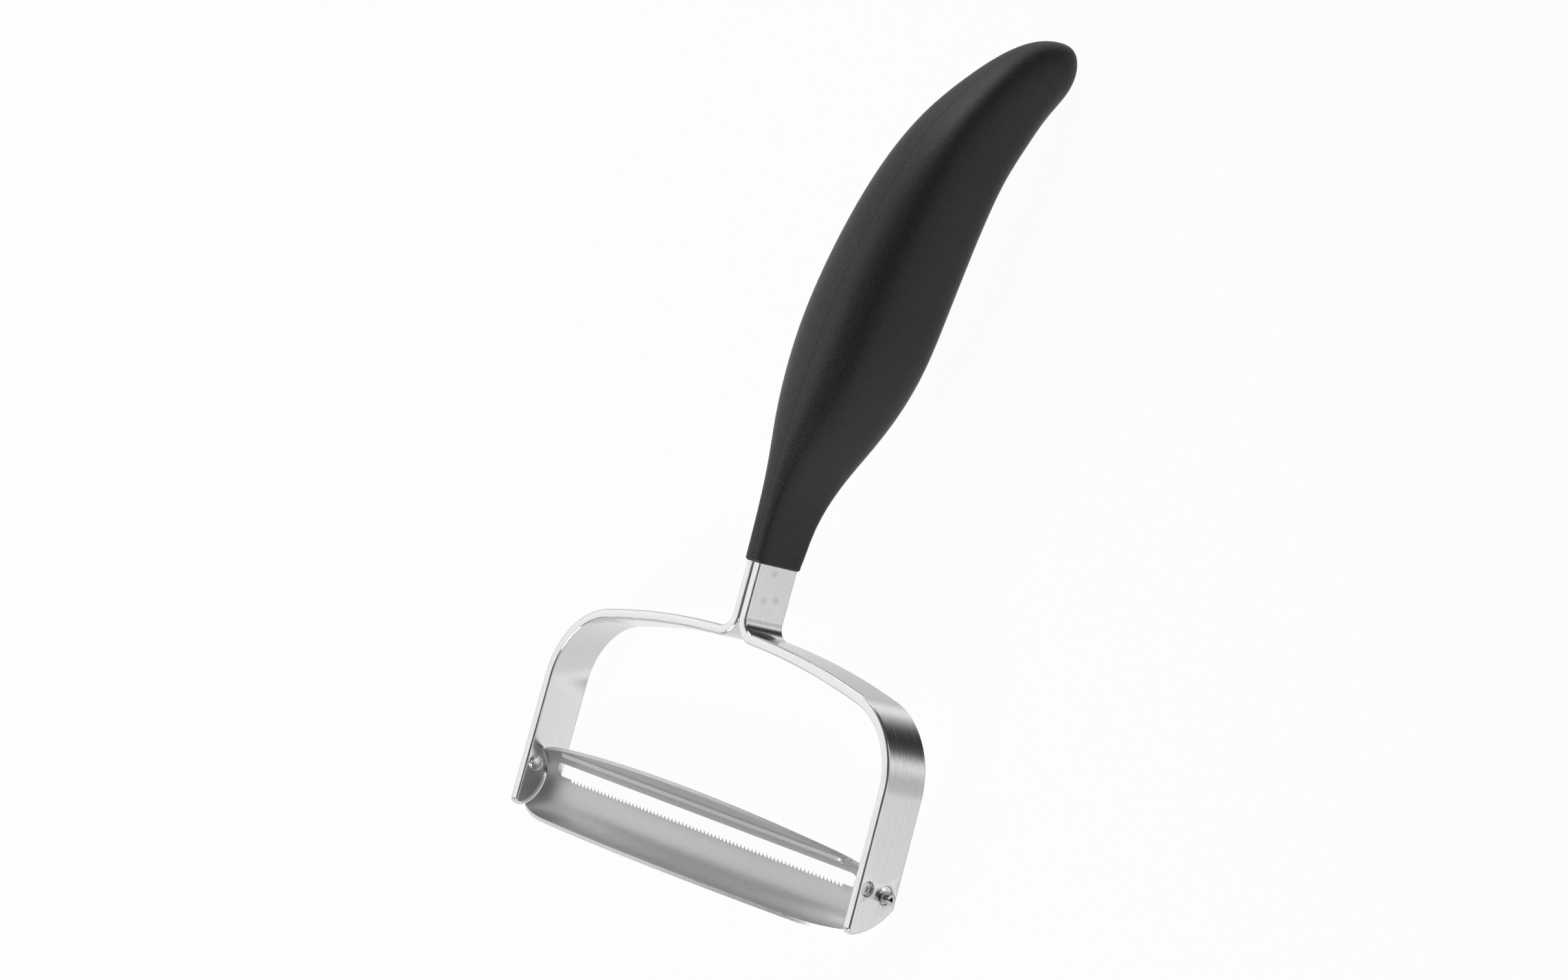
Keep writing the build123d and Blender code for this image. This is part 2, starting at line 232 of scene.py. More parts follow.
# The blank's outline near the arm's round end, as places across and above the tip
front = -strip_width / 2
back = strip_width / 2
chord = hypot(strip_width, arm_end_height)
rise = sqrt(arm_end_radius**2 - (chord / 2) ** 2)
end_y = -arm_end_height / chord * rise
end_z = arm_end_height / 2 + strip_width / chord * rise
tip_y = front + arm_tip_radius
tip_z = end_z - sqrt((arm_end_radius - arm_tip_radius) ** 2 - (tip_y - end_y) ** 2)
tip_angle = atan2(tip_z - end_z, tip_y - end_y)
heel_y = back - arm_back_radius
heel_z = end_z - sqrt((arm_end_radius - arm_back_radius) ** 2 - (heel_y - end_y) ** 2)
heel_angle = atan2(heel_z - end_z, heel_y - end_y)
split_angle = tip_angle + 0.06


def arc(y, z, radius, first, last, count):
    """Places on an arc, each with the way that the outline faces there."""
    made = []
    for number in range(count + 1):
        angle = first + (last - first) * number / count
        made.append((y + radius * cos(angle), z + radius * sin(angle), cos(angle), sin(angle)))
    return made


front_edge = []
back_edge = []
for at in lengths:
    front_edge.append((front, path_length - at, -1.0, 0.0))
    back_edge.append((back, path_length - at, 1.0, 0.0))
for number in range(1, 13):
    level = arm_length + (tip_z - arm_length) * number / 12
    front_edge.append((front, level, -1.0, 0.0))
front_edge += arc(tip_y, tip_z, arm_tip_radius, -pi, tip_angle, 8)[1:]
front_edge += arc(end_y, end_z, arm_end_radius, tip_angle, split_angle, 1)[1:]
for number in range(1, 7):
    level = arm_length + (heel_z - arm_length) * number / 6
    back_edge.append((back, level, 1.0, 0.0))
back_edge += arc(heel_y, heel_z, arm_back_radius, 0.0, heel_angle, 4)[1:]
back_edge += arc(end_y, end_z, arm_end_radius, heel_angle, split_angle + 0.004, 11)[1:]
spots = []
sides = []
ring = []
for number in range(edge_steps + 1):
    angle = pi / 2 * number / edge_steps
    ring.append((strip_edge_radius * (1 - sin(angle)), strip_edge_radius * (1 - cos(angle))))
half_thick = strip_thickness / 2
for (fy, fz, fny, fnz), (by, bz, bny, bnz) in zip(front_edge, back_edge):
    column = []
    for inset, drop in ring:
        column.append((path_length - fz + fnz * inset, fy - fny * inset, half_thick - drop))
    for inset, drop in reversed(ring):
        column.append((path_length - fz + fnz * inset, fy - fny * inset, drop - half_thick))
    for inset, drop in ring:
        column.append((path_length - bz + bnz * inset, by - bny * inset, drop - half_thick))
    for inset, drop in reversed(ring):
        column.append((path_length - bz + bnz * inset, by - bny * inset, half_thick - drop))
    around = [0.0]
    for (_, y0, h0), (_, y1, h1) in zip(column, column[1:] + column[:1]):
        around.append(around[-1] + hypot(y1 - y0, h1 - h0))
    spots.append(column)
    sides.append(around)
ring_count = len(spots[0])
points = [spot for column in spots for spot in column]
faces = []
brush_places = []
flat_start = len(lengths) - 1
front_step = ring_count // 2 - 1
for number in range(len(spots) - 1):
    for step in range(ring_count):
        if number >= flat_start and step in (front_step, ring_count - 1):
            continue
        after = (step + 1) % ring_count
        low = number * ring_count
        high = low + ring_count
        faces.append((low + step, low + after, high + after, high + step))
        brush_places += [(points[low + step][0], sides[number][step]),
                         (points[low + after][0], sides[number][step + 1]),
                         (points[high + after][0], sides[number + 1][step + 1]),
                         (points[high + step][0], sides[number + 1][step])]
faces.append(tuple(reversed(range(ring_count))))
brush_places += [(0.0, sides[0][step]) for step in reversed(range(ring_count))]
last = (len(spots) - 1) * ring_count
for step in range(front_step):
    cap = (step, step + 1, ring_count - 2 - step, ring_count - 1 - step)
    faces.append(tuple(last + number for number in cap))
    brush_places += [(points[last + number][0], sides[-1][number]) for number in cap]

# The pivot hole and the pressed stop, as rings of the arm's flat faces
pin_shift = hole_radius - pin_radius - pin_rest_gap
hole_height = pivot_height + pin_shift * sin(radians(pin_rest_turn))
hole_y = pivot_y + pin_shift * cos(radians(pin_rest_turn))
hole_spot = (path_length - hole_height, hole_y)
stop_spot = (path_length - pivot_height - stop_rise_height, stop_y)


def quarter(radius, level, bevel, drop, outwards=1):
    """The steps of a rounded edge, from a flat face into a bore or up a boss."""
    made = []
    for number in range(6):
        angle = pi / 2 * number / 5
        made.append((radius + outwards * bevel * (1 - sin(angle)), level + drop * bevel * (1 - cos(angle))))
    return made


def round_form(centre, steps, wall_inwards, closed):
    """Rings of a bore or a boss. Returns the numbers of the points on its first ring."""
    first = len(points)
    for radius, level in steps:
        for number in range(ring_steps):
            turn = 2 * pi * number / ring_steps
            points.append((centre[0] + radius * cos(turn), centre[1] + radius * sin(turn), level))
    made = []
    for step in range(len(steps) - 1):
        for number in range(ring_steps):
            after = (number + 1) % ring_steps
            low = first + step * ring_steps
            made.append((low + number, low + after, low + ring_steps + after, low + ring_steps + number))
    if closed:
        low = first + (len(steps) - 1) * ring_steps
        made.append(tuple(low + number for number in range(ring_steps)))
    for face in made:
        face = face if wall_inwards else tuple(reversed(face))
        faces.append(face)
        brush_places.extend((points[number][0], points[number][1]) for number in face)
    return list(range(first, first + ring_steps))


bore_steps = quarter(hole_radius, half_thick, hole_bevel_width, -1) + [(hole_radius, -half_thick)]
bore_top = round_form(hole_spot, bore_steps, True, False)
bore_bottom = list(range(len(points) - ring_steps, len(points)))
recess_steps = quarter(stop_radius, half_thick, recess_bevel_width, -1)
floor_level = half_thick - recess_depth
recess_steps += [(stop_radius, floor_level + recess_foot_radius)]
recess_steps += quarter(stop_radius, floor_level, recess_foot_radius, 1, -1)[::-1][1:]
recess_top = round_form(stop_spot, recess_steps, True, True)
stop_steps = quarter(stop_radius, -half_thick, stop_root_radius, -1)
stop_level = -half_thick - stop_height
stop_steps += quarter(stop_radius, stop_level, stop_edge_radius, 1, -1)[::-1]
stop_root = round_form(stop_spot, stop_steps, False, True)


def face_fill(edge_numbers, rings, upwards):
    """Triangles between the outline of a flat face and the rings in it."""
    loops = [edge_numbers] + rings
    numbers = [number for loop in loops for number in loop]
    flat_spots = [Vector(points[number][:2]) for number in numbers]
    edges = []
    start = 0
    for loop in loops:
        for number in range(len(loop)):
            edges.append((start + number, start + (number + 1) % len(loop)))
        start += len(loop)
    filled = delaunay_2d_cdt(flat_spots, edges, [], 1, 1e-9)
    rounds = []
    for centre, ring in zip((hole_spot, stop_spot), rings):
        rounds.append((Vector(centre), (Vector(points[ring[0]][:2]) - Vector(centre)).length))
    for face in filled[2]:
        face = [numbers[filled[3][number][0]] for number in face]
        middle = sum((Vector(points[number][:2]) for number in face), Vector((0, 0))) / len(face)
        if min((middle - centre).length - radius for centre, radius in rounds) < 0:
            continue
        turn = (Vector(points[face[1]][:2]) - Vector(points[face[0]][:2])).cross(
            Vector(points[face[2]][:2]) - Vector(points[face[0]][:2]))
        if (turn > 0) != upwards:
            face.reverse()
        faces.append(tuple(face))
        turned_over = -1 if upwards else 1
        brush_places.extend((points[number][0], points[number][1] * turned_over) for number in face)


flat_faces = ((0, [bore_top, recess_top], True), (front_step, [bore_bottom, stop_root], False))
for step, rings, upwards in flat_faces:
    other = (ring_count - 1) if upwards else (front_step + 1)
    rail = [number * ring_count + step for number in range(flat_start, len(spots))]
    rail += [number * ring_count + other for number in reversed(range(flat_start, len(spots)))]
    face_fill(rail, rings, upwards)
mesh = bpy.data.meshes.new("strip_blank")
mesh.from_pydata(points, [], faces)
places = mesh.uv_layers.new(name="UVMap")
for number, (along, around) in enumerate(brush_places):
    places.data[number].uv = (along, around)
blank = bpy.data.objects.new("strip_blank", mesh)
scene.collection.objects.link(blank)

curve = bpy.data.curves.new("strip_path", "CURVE")
curve.dimensions = "3D"
line = curve.splines.new("POLY")
line.points.add(len(path) - 1)
for point, spot in zip(line.points, path):
    point.co = (*spot, 1.0)
path_line = bpy.data.objects.new("strip_path", curve)
scene.collection.objects.link(path_line)


def new_tree(name, sizes):
    """A Geometry Nodes tree with named inputs, its first wire and its input and output."""
    tree = bpy.data.node_groups.new(name, "GeometryNodeTree")
    tree.interface.new_socket(name="Blank", in_out="INPUT", socket_type="NodeSocketGeometry")
    for label, kind in sizes:
        tree.interface.new_socket(name=label, in_out="INPUT", socket_type="NodeSocket" + kind)
    tree.interface.new_socket(name="Blank", in_out="OUTPUT", socket_type="NodeSocketGeometry")
    wire = Wire(tree)
    given = wire.node("NodeGroupInput")
    inputs = {item.name: given.part(number) for number, item in enumerate(given.socket.node.outputs)
              if item.name}
    return wire, inputs


def shaped(blank, wire, values):
    """The plain mesh that a tree makes of a blank."""
    modifier = blank.modifiers.new("shaping", "NODES")
    modifier.node_group = wire.tree
    for item in wire.tree.interface.items_tree:
        if item.in_out == "INPUT" and item.name in values:
            modifier[item.identifier] = values[item.name]
    ready = blank.evaluated_get(bpy.context.evaluated_depsgraph_get())
    made = bpy.data.meshes.new_from_object(ready)
    blank.modifiers.remove(modifier)
    return made


wire, given = new_tree("bend_along_path", [("Path", "Object"), ("Finish", "Material")])
spot = wire.node("GeometryNodeInputPosition")
along = wire.node("ShaderNodeSeparateXYZ", links={0: spot})
middle = wire.node("GeometryNodeObjectInfo", links={"Object": given["Path"]}, out="Geometry")
on_path = wire.node("GeometryNodeSampleCurve", {"mode": "LENGTH", "use_all_curves": True},
                    {"Curves": middle, "Length": along}, out="Position")
square = wire.node("ShaderNodeVectorMath", {"operation": "CROSS_PRODUCT"},
                   {0: on_path.part("Tangent"), 1: (0.0, 1.0, 0.0)})
square = wire.node("ShaderNodeVectorMath", {"operation": "NORMALIZE"}, {0: square})
off_path = wire.node("ShaderNodeVectorMath", {"operation": "SCALE"}, {0: square, "Scale": along.part(2)})
width_way = wire.node("ShaderNodeCombineXYZ", links={1: along.part(1)})
bent = wire.node("ShaderNodeVectorMath", {"operation": "ADD"}, {0: on_path, 1: off_path})
bent = wire.node("ShaderNodeVectorMath", {"operation": "ADD"}, {0: bent, 1: width_way})
moved = wire.node("GeometryNodeSetPosition", links={"Geometry": given["Blank"], "Position": bent})
smooth = wire.node("GeometryNodeSetShadeSmooth", links={0: moved})
whole = wire.node("GeometryNodeRealizeInstances", links={0: smooth})
painted = wire.node("GeometryNodeSetMaterial", links={"Geometry": whole, "Material": given["Finish"]})
wire.node("NodeGroupOutput", links={0: painted})

strip_steel, wire_steel, strip_shader = finish("brushed_strip_steel", (0.62, 0.62, 0.63), 1.0, 0.26)
bent_mesh = shaped(blank, wire, {"Path": path_line, "Finish": strip_steel})
bpy.data.objects.remove(blank)
bpy.data.objects.remove(path_line)


def worked(piece, tools, turn_limit=33):
    """The piece after its tools, with flat faces kept flat in its shading."""
    for tool, operation in tools:
        modifier = piece.modifiers.new(tool.name, "BOOLEAN")
        modifier.object = tool
        modifier.operation = operation
        modifier.solver = "EXACT"
    ready = piece.evaluated_get(bpy.context.evaluated_depsgraph_get())
    made = bpy.data.meshes.new_from_object(ready)
    piece.modifiers.clear()
    for tool, operation in tools:
        bpy.data.objects.remove(tool)
    made.shade_smooth()
    made.set_sharp_from_angle(angle=radians(turn_limit))
    piece.data = made
    modifier = piece.modifiers.new("flats", "WEIGHTED_NORMAL")
    modifier.keep_sharp = True
    modifier.weight = 100
    ready = piece.evaluated_get(bpy.context.evaluated_depsgraph_get())
    made = bpy.data.meshes.new_from_object(ready)
    piece.modifiers.clear()
    return made


arm_middle = path[-1].x - pivot_height * tan(radians(arm_flare))
arm_half = half_thick / cos(radians(arm_flare))
arm_inside = arm_middle - arm_half
arm_outside = arm_middle + arm_half
pivot_z = tip_level + pivot_height

# Brushed along the strip: fine lines on the length and on the way round the section
place = wire_steel.node("ShaderNodeUVMap")
along = wire_steel.node("ShaderNodeSeparateXYZ", links={0: place})


def brushed(wire, long, wide, detail=2.0):
    """Lines along the strip, about one over long by one over wide metres."""
    spot = wire.node("ShaderNodeCombineXYZ", links={0: along * long, 1: along.part(1) * wide})
    return wire.node("ShaderNodeTexNoise", {"noise_dimensions": "2D"},
                     {"Vector": spot, "Scale": 1.0, "Detail": detail, "Roughness": 0.6})


fine_lines = brushed(wire_steel, 90.0, 9000.0)
broad_lines = brushed(wire_steel, 40.0, 1800.0)
cloud = wire_steel.node("ShaderNodeTexNoise", {"noise_dimensions": "3D"},
                        {"Vector": wire_steel.node("ShaderNodeTexCoord", out=3), "Scale": 160.0,
                         "Detail": 3.0, "Roughness": 0.5})
height = fine_lines * 0.7 + broad_lines * 0.5
bump = wire_steel.node("ShaderNodeBump", links={"Strength": 1.0, "Distance": brush_depth, "Height": height})
wire_steel.tree.links.new(bump.socket, strip_shader.inputs["Normal"])
rough = 0.09 + fine_lines * 0.06 + cloud * 0.03
wire_steel.tree.links.new(rough.socket, strip_shader.inputs["Roughness"])
tone = broad_lines * 0.5 + fine_lines * 0.5
shade = wire_steel.node("ShaderNodeMix", {"data_type": "RGBA"},
                        {0: tone, 6: strip_dark, 7: strip_light}, out=2)

# Spot welds: three faint grey marks on each side of the tang
weld_marks = [(-30.2 * mm, 17.9 * mm), (-34.6 * mm, 14.7 * mm), (-35.7 * mm, 17.5 * mm)]
weld_radius = 0.8 * mm
whole_place = wire_steel.node("ShaderNodeTexCoord", out=3)
flat_place = wire_steel.node("ShaderNodeMapping", links={"Vector": whole_place, "Scale": (0.0, 1.0, 1.0)})
marks = None
for along_tool, level in weld_marks:
    away = wire_steel.node("ShaderNodeVectorMath", {"operation": "DISTANCE"},
                           {0: flat_place, 1: (0.0, along_tool, level)}, out=1)
    mark = 1.0 - (away + cloud * weld_radius).step(weld_radius, 2.0 * weld_radius)
    marks = mark if marks is None else wire_steel.maths("MAXIMUM", marks, mark)
shade = wire_steel.node("ShaderNodeMix", {"data_type": "RGBA"},
                        {0: marks * 0.32, 6: shade, 7: weld_shade}, out=2)
wire_steel.tree.links.new(shade.socket, strip_shader.inputs["Base Color"])

laid = Matrix.Translation(pivot) @ Matrix.Rotation(laid_turn, 4, "X")
laid = laid @ Matrix.Translation((0.0, -pivot_y, -pivot_z))
arm_piece = bpy.data.objects.new("arm_being_worked", bent_mesh)
scene.collection.objects.link(arm_piece)
arm_mesh = worked(arm_piece, [])
bpy.data.objects.remove(arm_piece)
for name, flip in (("right_arm", 1), ("left_arm", -1)):
    mesh = arm_mesh.copy()
    mesh.transform(laid @ Matrix.Diagonal((flip, 1, 1, 1)))
    if flip < 0:
        mesh.flip_normals()
    mesh.materials.clear()
    mesh.materials.append(strip_steel)
    strip = bpy.data.objects.new(name + "_strip", mesh)
    scene.collection.objects.link(strip)
    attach(strip, "frame")
    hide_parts(name)

# Trough blade
# One stamping of thin stainless sheet: a flat blank with a slot, 74 teeth along the slot's lower
# edge and sheared rims, pressed with one long bead and rolled round into a trough.
blade_thickness = 0.7 * mm
blade_side_gap = 0.5 * mm
blade_half = arm_inside - blade_side_gap
trough_radius = 7.4 * mm
trough_half_turn = radians(81.4)
trough_turn = radians(-13.3)
pin_depth = 0.35 * mm
pin_height = 3.35 * mm
rim_depth_middle = 11.75 * mm
lower_rim_depth_end = 2.3 * mm
upper_rim_depth_end = 4.0 * mm
slot_top = 6.1 * mm
slot_bottom = 3.05 * mm
slot_end_radius = 1.3 * mm
slot_end_gap = 3.8 * mm
slot_half = blade_half - slot_end_gap
teeth_end_gap = 4.6 * mm
tooth_pitch = 1.12 * mm
tooth_depth = 0.65 * mm
tooth_tip_width = 0.08 * mm
tooth_count = round(2 * (slot_half - teeth_end_gap) / tooth_pitch)
teeth_half = tooth_count * tooth_pitch / 2
tooth_reach = (tooth_pitch - tooth_tip_width) / 2
gullet_radius = (tooth_reach**2 + tooth_depth**2) / 2 / tooth_depth
bead_height = 0.5 * mm
bead_half_width = 1.2 * mm
bead_middle = 8.55 * mm
bead_end_gap = 6.2 * mm
bead_half = blade_half - bead_end_gap - bead_half_width
ground_width = 1.5 * mm
ground_thickness = 0.14 * mm
rolled_depth = 0.02 * mm
torn_depth = 0.12 * mm
sheet_dark = (0.5, 0.5, 0.51, 1.0)
sheet_light = (0.7, 0.7, 0.71, 1.0)


def rim_place(x, end_depth):
    """How far up the sheet the rim lies, from the arc that it is cut to."""
    rise = rim_depth_middle - end_depth
    cut_radius = (blade_half**2 + rise**2) / 2 / rise
    depth = rim_depth_middle - cut_radius + sqrt(cut_radius**2 - x**2)
    round_depth = trough_radius * (1 - cos(trough_half_turn))
    if depth < round_depth:
        return trough_radius * acos(1 - depth / trough_radius)
    return trough_radius * trough_half_turn + (depth - round_depth) / sin(trough_half_turn)


def gullet_rise(across):
    """The height of a gullet's round edge above its bottom."""
    return gullet_radius - sqrt(max(gullet_radius**2 - across**2, 0.0))


half_columns = []
for number in range(tooth_count + 1):
    half_columns.append(number * tooth_pitch / 2)
for share in (0.3, 0.55, 0.75, 0.9, 0.99):
    half_columns.append(teeth_half + tooth_reach * share)
half_columns.append(teeth_half + tooth_reach + 0.01 * mm)
for number in range(1, 11):
    half_columns.append(teeth_half + tooth_reach + (slot_half - slot_end_radius - teeth_half - tooth_reach)
                        * number / 10)
for number in range(1, 8):
    half_columns.append(slot_half - slot_end_radius * (1 - sin(pi / 2 * number / 7)))
for number in range(1, 8):
    half_columns.append(slot_half + (blade_half - slot_half) * number / 7)
columns = [-x for x in reversed(half_columns[1:])] + half_columns
low_rows = 26
bead_rows_width = 4.3 * mm
bead_rows = [0.0, 0.3, 0.6, 0.9, 1.1, 1.25, 1.4, 1.6, 1.8, 2.05]
bead_rows += [2.3, 2.55, 2.8, 3.05, 3.25, 3.45, 3.6, 3.7, 3.85]
top_rows = 9
sheet_rows = []
for x in columns:
    lowest = -rim_place(x, lower_rim_depth_end)
    highest = rim_place(x, upper_rim_depth_end)
    far = abs(x)
    round_in = max(far - slot_half + slot_end_radius, 0.0)
    round_off = slot_end_radius - sqrt(max(slot_end_radius**2 - min(round_in, slot_end_radius) ** 2, 0.0))
    edge = slot_bottom + round_off
    if far <= teeth_half + 1e-9:
        edge = slot_bottom - tooth_depth
    elif far < teeth_half + tooth_reach:
        edge = slot_bottom - tooth_depth + gullet_rise(far - teeth_half)
    top = slot_top - round_off
    rows = [lowest + (edge - lowest) * number / low_rows for number in range(low_rows + 1)]
    squeeze = min((highest - top) / bead_rows_width, 1.0)
    guard = [top + row * mm * squeeze for row in bead_rows]
    rows += guard
    rows += [guard[-1] + (highest - guard[-1]) * number / top_rows for number in range(1, top_rows + 1)]
    sheet_rows.append(rows)
row_count = len(sheet_rows[0])
points = []
for x, rows in zip(columns, sheet_rows):
    points += [(x, row, -blade_thickness / 2) for row in rows]
faces = []
for number in range(len(columns) - 1):
    inside_slot = max(abs(columns[number]), abs(columns[number + 1])) < slot_half + 1e-7
    for row in range(row_count - 1):
        if row == low_rows and inside_slot:
            continue
        low = number * row_count + row
        faces.append((low, low + row_count, low + row_count + 1, low + 1))
mesh = bpy.data.meshes.new("sheet_blank")
mesh.from_pydata(points, [], faces)
blank = bpy.data.objects.new("sheet_blank", mesh)
scene.collection.objects.link(blank)

# One tooth: both its sides are halves of the round gullets beside it
tooth_line = slot_bottom - tooth_depth
tooth_sides = []
for place in (0.0, 0.045, 0.08, 0.13, 0.2, 0.3, 0.42):
    away = tooth_pitch / 2 - tooth_tip_width / 2 - place * mm
    tooth_sides.append((tooth_tip_width / 2 + place * mm, gullet_rise(away)))
tooth_sides[0] = (tooth_tip_width / 2, gullet_radius)
outline = [(-tooth_pitch / 2, 0.0), (0.0, 0.0), (tooth_pitch / 2, 0.0)]
outline += [(x, rise) for x, rise in reversed(tooth_sides)]
outline += [(tooth_tip_width / 2, tooth_depth), (-tooth_tip_width / 2, tooth_depth)]
outline += [(-x, rise) for x, rise in tooth_sides]
mesh = bpy.data.meshes.new("tooth")
mesh.from_pydata([(x, rise, 0.0) for x, rise in outline], [], [tuple(range(len(outline)))])
tooth = bpy.data.objects.new("tooth", mesh)
scene.collection.objects.link(tooth)

wire, given = new_tree("roll_trough", [
    ("Tooth", "Object"), ("Tooth Count", "Int"), ("Tooth Pitch", "Float"), ("Tooth Line", "Float"),
    ("Thickness", "Float"), ("Trough Radius", "Float"), ("Half Turn", "Float"), ("Bead Middle", "Float"),
    ("Bead Half Length", "Float"), ("Bead Half Width", "Float"), ("Bead Height", "Float"),
    ("Ground Width", "Float"), ("Ground Thickness", "Float"), ("Finish", "Material"),
    ("Sheared Edge", "Material")])
first_tooth = (given["Tooth Count"] - 1.0) * given["Tooth Pitch"] * -0.5
start = wire.node("ShaderNodeCombineXYZ", links={
    0: first_tooth, 1: given["Tooth Line"], 2: given["Thickness"] * -0.5})
stride = wire.node("ShaderNodeCombineXYZ", links={0: given["Tooth Pitch"]})
row = wire.node("GeometryNodeMeshLine", {"mode": "OFFSET"},
                {"Count": given["Tooth Count"], "Start Location": start, "Offset": stride})
one_tooth = wire.node("GeometryNodeObjectInfo", links={"Object": given["Tooth"]}, out="Geometry")
teeth = wire.node("GeometryNodeInstanceOnPoints", links={"Points": row, "Instance": one_tooth})
teeth = wire.node("GeometryNodeRealizeInstances", links={0: teeth})
sheet = wire.node("GeometryNodeJoinGeometry", links={0: teeth})
wire.tree.links.new(given["Blank"].socket, sheet.socket.node.inputs[0])
sheet = wire.node("GeometryNodeMergeByDistance", links={"Geometry": sheet, "Distance": 1e-6})
up = wire.node("ShaderNodeCombineXYZ", links={2: given["Thickness"]})
thick = wire.node("GeometryNodeExtrudeMesh", {"mode": "FACES"},
                  {"Mesh": sheet, "Offset": up, "Offset Scale": 1.0, "Individual": False})
edges = thick.part("Side")
outside = wire.node("GeometryNodeStoreNamedAttribute", {"data_type": "BOOLEAN", "domain": "FACE"}, {
    "Geometry": thick, "Name": "sheared", "Value": edges})
inside = wire.node("GeometryNodeFlipFaces", links={0: sheet})
both = wire.node("GeometryNodeJoinGeometry", links={0: inside})
wire.tree.links.new(outside.socket, both.socket.node.inputs[0])
both = wire.node("GeometryNodeMergeByDistance", links={"Geometry": both, "Distance": 1e-6})
spot = wire.node("GeometryNodeInputPosition")
across = wire.node("ShaderNodeSeparateXYZ", links={0: spot})
up = across.part(1)
off_x = wire.maths("MAXIMUM", abs(across) - given["Bead Half Length"], 0.0)
off_y = up - given["Bead Middle"]
off = wire.maths("SQRT", off_x * off_x + off_y * off_y)
share = off / given["Bead Half Width"]
flank = wire.node("ShaderNodeMapRange", {"interpolation_type": "SMOOTHERSTEP"},
                  {"Value": share, "From Min": 0.1, "From Max": 1.0})
ridge = given["Bead Height"] * (1.0 - flank)
angle = wire.maths("MINIMUM", wire.maths("MAXIMUM", up / given["Trough Radius"], given["Half Turn"] * -1.0),
                   given["Half Turn"])
extra = up - angle * given["Trough Radius"]
ground = wire.node("ShaderNodeMapRange", {"interpolation_type": "LINEAR"}, {
    "Value": up, "From Min": given["Tooth Line"] - given["Ground Width"], "From Max": given["Tooth Line"],
    "To Max": given["Ground Thickness"] - given["Thickness"]})
ground = ground * wire.maths("LESS_THAN", up, given["Bead Middle"] * 0.5) * wire.maths(
    "GREATER_THAN", across.part(2), 0.0)
radius = given["Trough Radius"] + across.part(2) + ground - ridge
cosine = wire.maths("COSINE", angle)
sine = wire.maths("SINE", angle)
rolled = wire.node("ShaderNodeCombineXYZ", links={
    0: across, 1: radius * cosine - given["Trough Radius"] - sine * extra, 2: radius * sine + cosine * extra})
moved = wire.node("GeometryNodeSetPosition", links={"Geometry": both, "Position": rolled})
smooth = wire.node("GeometryNodeSetShadeSmooth", links={0: moved})
whole = wire.node("GeometryNodeRealizeInstances", links={0: smooth})
whole = wire.node("GeometryNodeSetMaterial", links={"Geometry": whole, "Material": given["Finish"]})
sheared_faces = wire.node("GeometryNodeInputNamedAttribute", {"data_type": "BOOLEAN"}, {"Name": "sheared"})
whole = wire.node("GeometryNodeSetMaterial", links={
    "Geometry": whole, "Selection": sheared_faces, "Material": given["Sheared Edge"]})
wire.node("NodeGroupOutput", links={0: whole})

blade_steel, wire_blade, blade_shader = finish("satin_sheet_steel", (0.6, 0.6, 0.61), 1.0, 0.3)
spot = wire_blade.node("ShaderNodeTexCoord", out=3)
stretched = wire_blade.node("ShaderNodeMapping", links={"Vector": spot, "Scale": (0.25, 1.0, 1.0)})
rolled_grain = wire_blade.node("ShaderNodeTexNoise", {"noise_dimensions": "3D"},
                               {"Vector": stretched, "Scale": 2600.0, "Detail": 3.0, "Roughness": 0.6})
cloud = wire_blade.node("ShaderNodeTexNoise", {"noise_dimensions": "3D"},
                        {"Vector": spot, "Scale": 220.0, "Detail": 4.0, "Roughness": 0.55})
specks = wire_blade.node("ShaderNodeTexVoronoi", {"feature": "F1"}, {"Vector": spot, "Scale": 130.0})
speck = 1.0 - specks.step(0.012, 0.03)
bump = wire_blade.node("ShaderNodeBump", links={
    "Strength": 0.3, "Distance": rolled_depth, "Height": rolled_grain + speck * -1.0})
wire_blade.tree.links.new(bump.socket, blade_shader.inputs["Normal"])
rough = 0.33 + rolled_grain * 0.1 + cloud * 0.06
wire_blade.tree.links.new(rough.socket, blade_shader.inputs["Roughness"])
tone = rolled_grain * 0.6 + cloud * 0.4 - speck * 0.5
shade = wire_blade.node("ShaderNodeMix", {"data_type": "RGBA"},
                        {0: tone, 6: sheet_dark, 7: sheet_light}, out=2)
wire_blade.tree.links.new(shade.socket, blade_shader.inputs["Base Color"])
sheared, wire_edge, edge_shader = finish("sheared_edge_steel", (0.66, 0.66, 0.67), 1.0, 0.4)
spot = wire_edge.node("ShaderNodeTexCoord", out=3)
torn = wire_edge.node("ShaderNodeTexNoise", {"noise_dimensions": "3D"},
                      {"Vector": spot, "Scale": 1500.0, "Detail": 4.0, "Roughness": 0.7})
bump = wire_edge.node("ShaderNodeBump", links={"Strength": 0.8, "Distance": torn_depth, "Height": torn})
wire_edge.tree.links.new(bump.socket, edge_shader.inputs["Normal"])
rough = 0.25 + torn * 0.3
wire_edge.tree.links.new(rough.socket, edge_shader.inputs["Roughness"])

rolled_mesh = shaped(blank, wire, {
    "Tooth": tooth, "Tooth Count": tooth_count, "Tooth Pitch": tooth_pitch, "Tooth Line": tooth_line,
    "Thickness": blade_thickness, "Trough Radius": trough_radius, "Half Turn": trough_half_turn,
    "Bead Middle": bead_middle, "Bead Half Length": bead_half, "Bead Half Width": bead_half_width,
    "Bead Height": bead_height, "Ground Width": ground_width, "Ground Thickness": ground_thickness,
    "Finish": blade_steel, "Sheared Edge": sheared})
bpy.data.objects.remove(blank)
bpy.data.objects.remove(tooth)

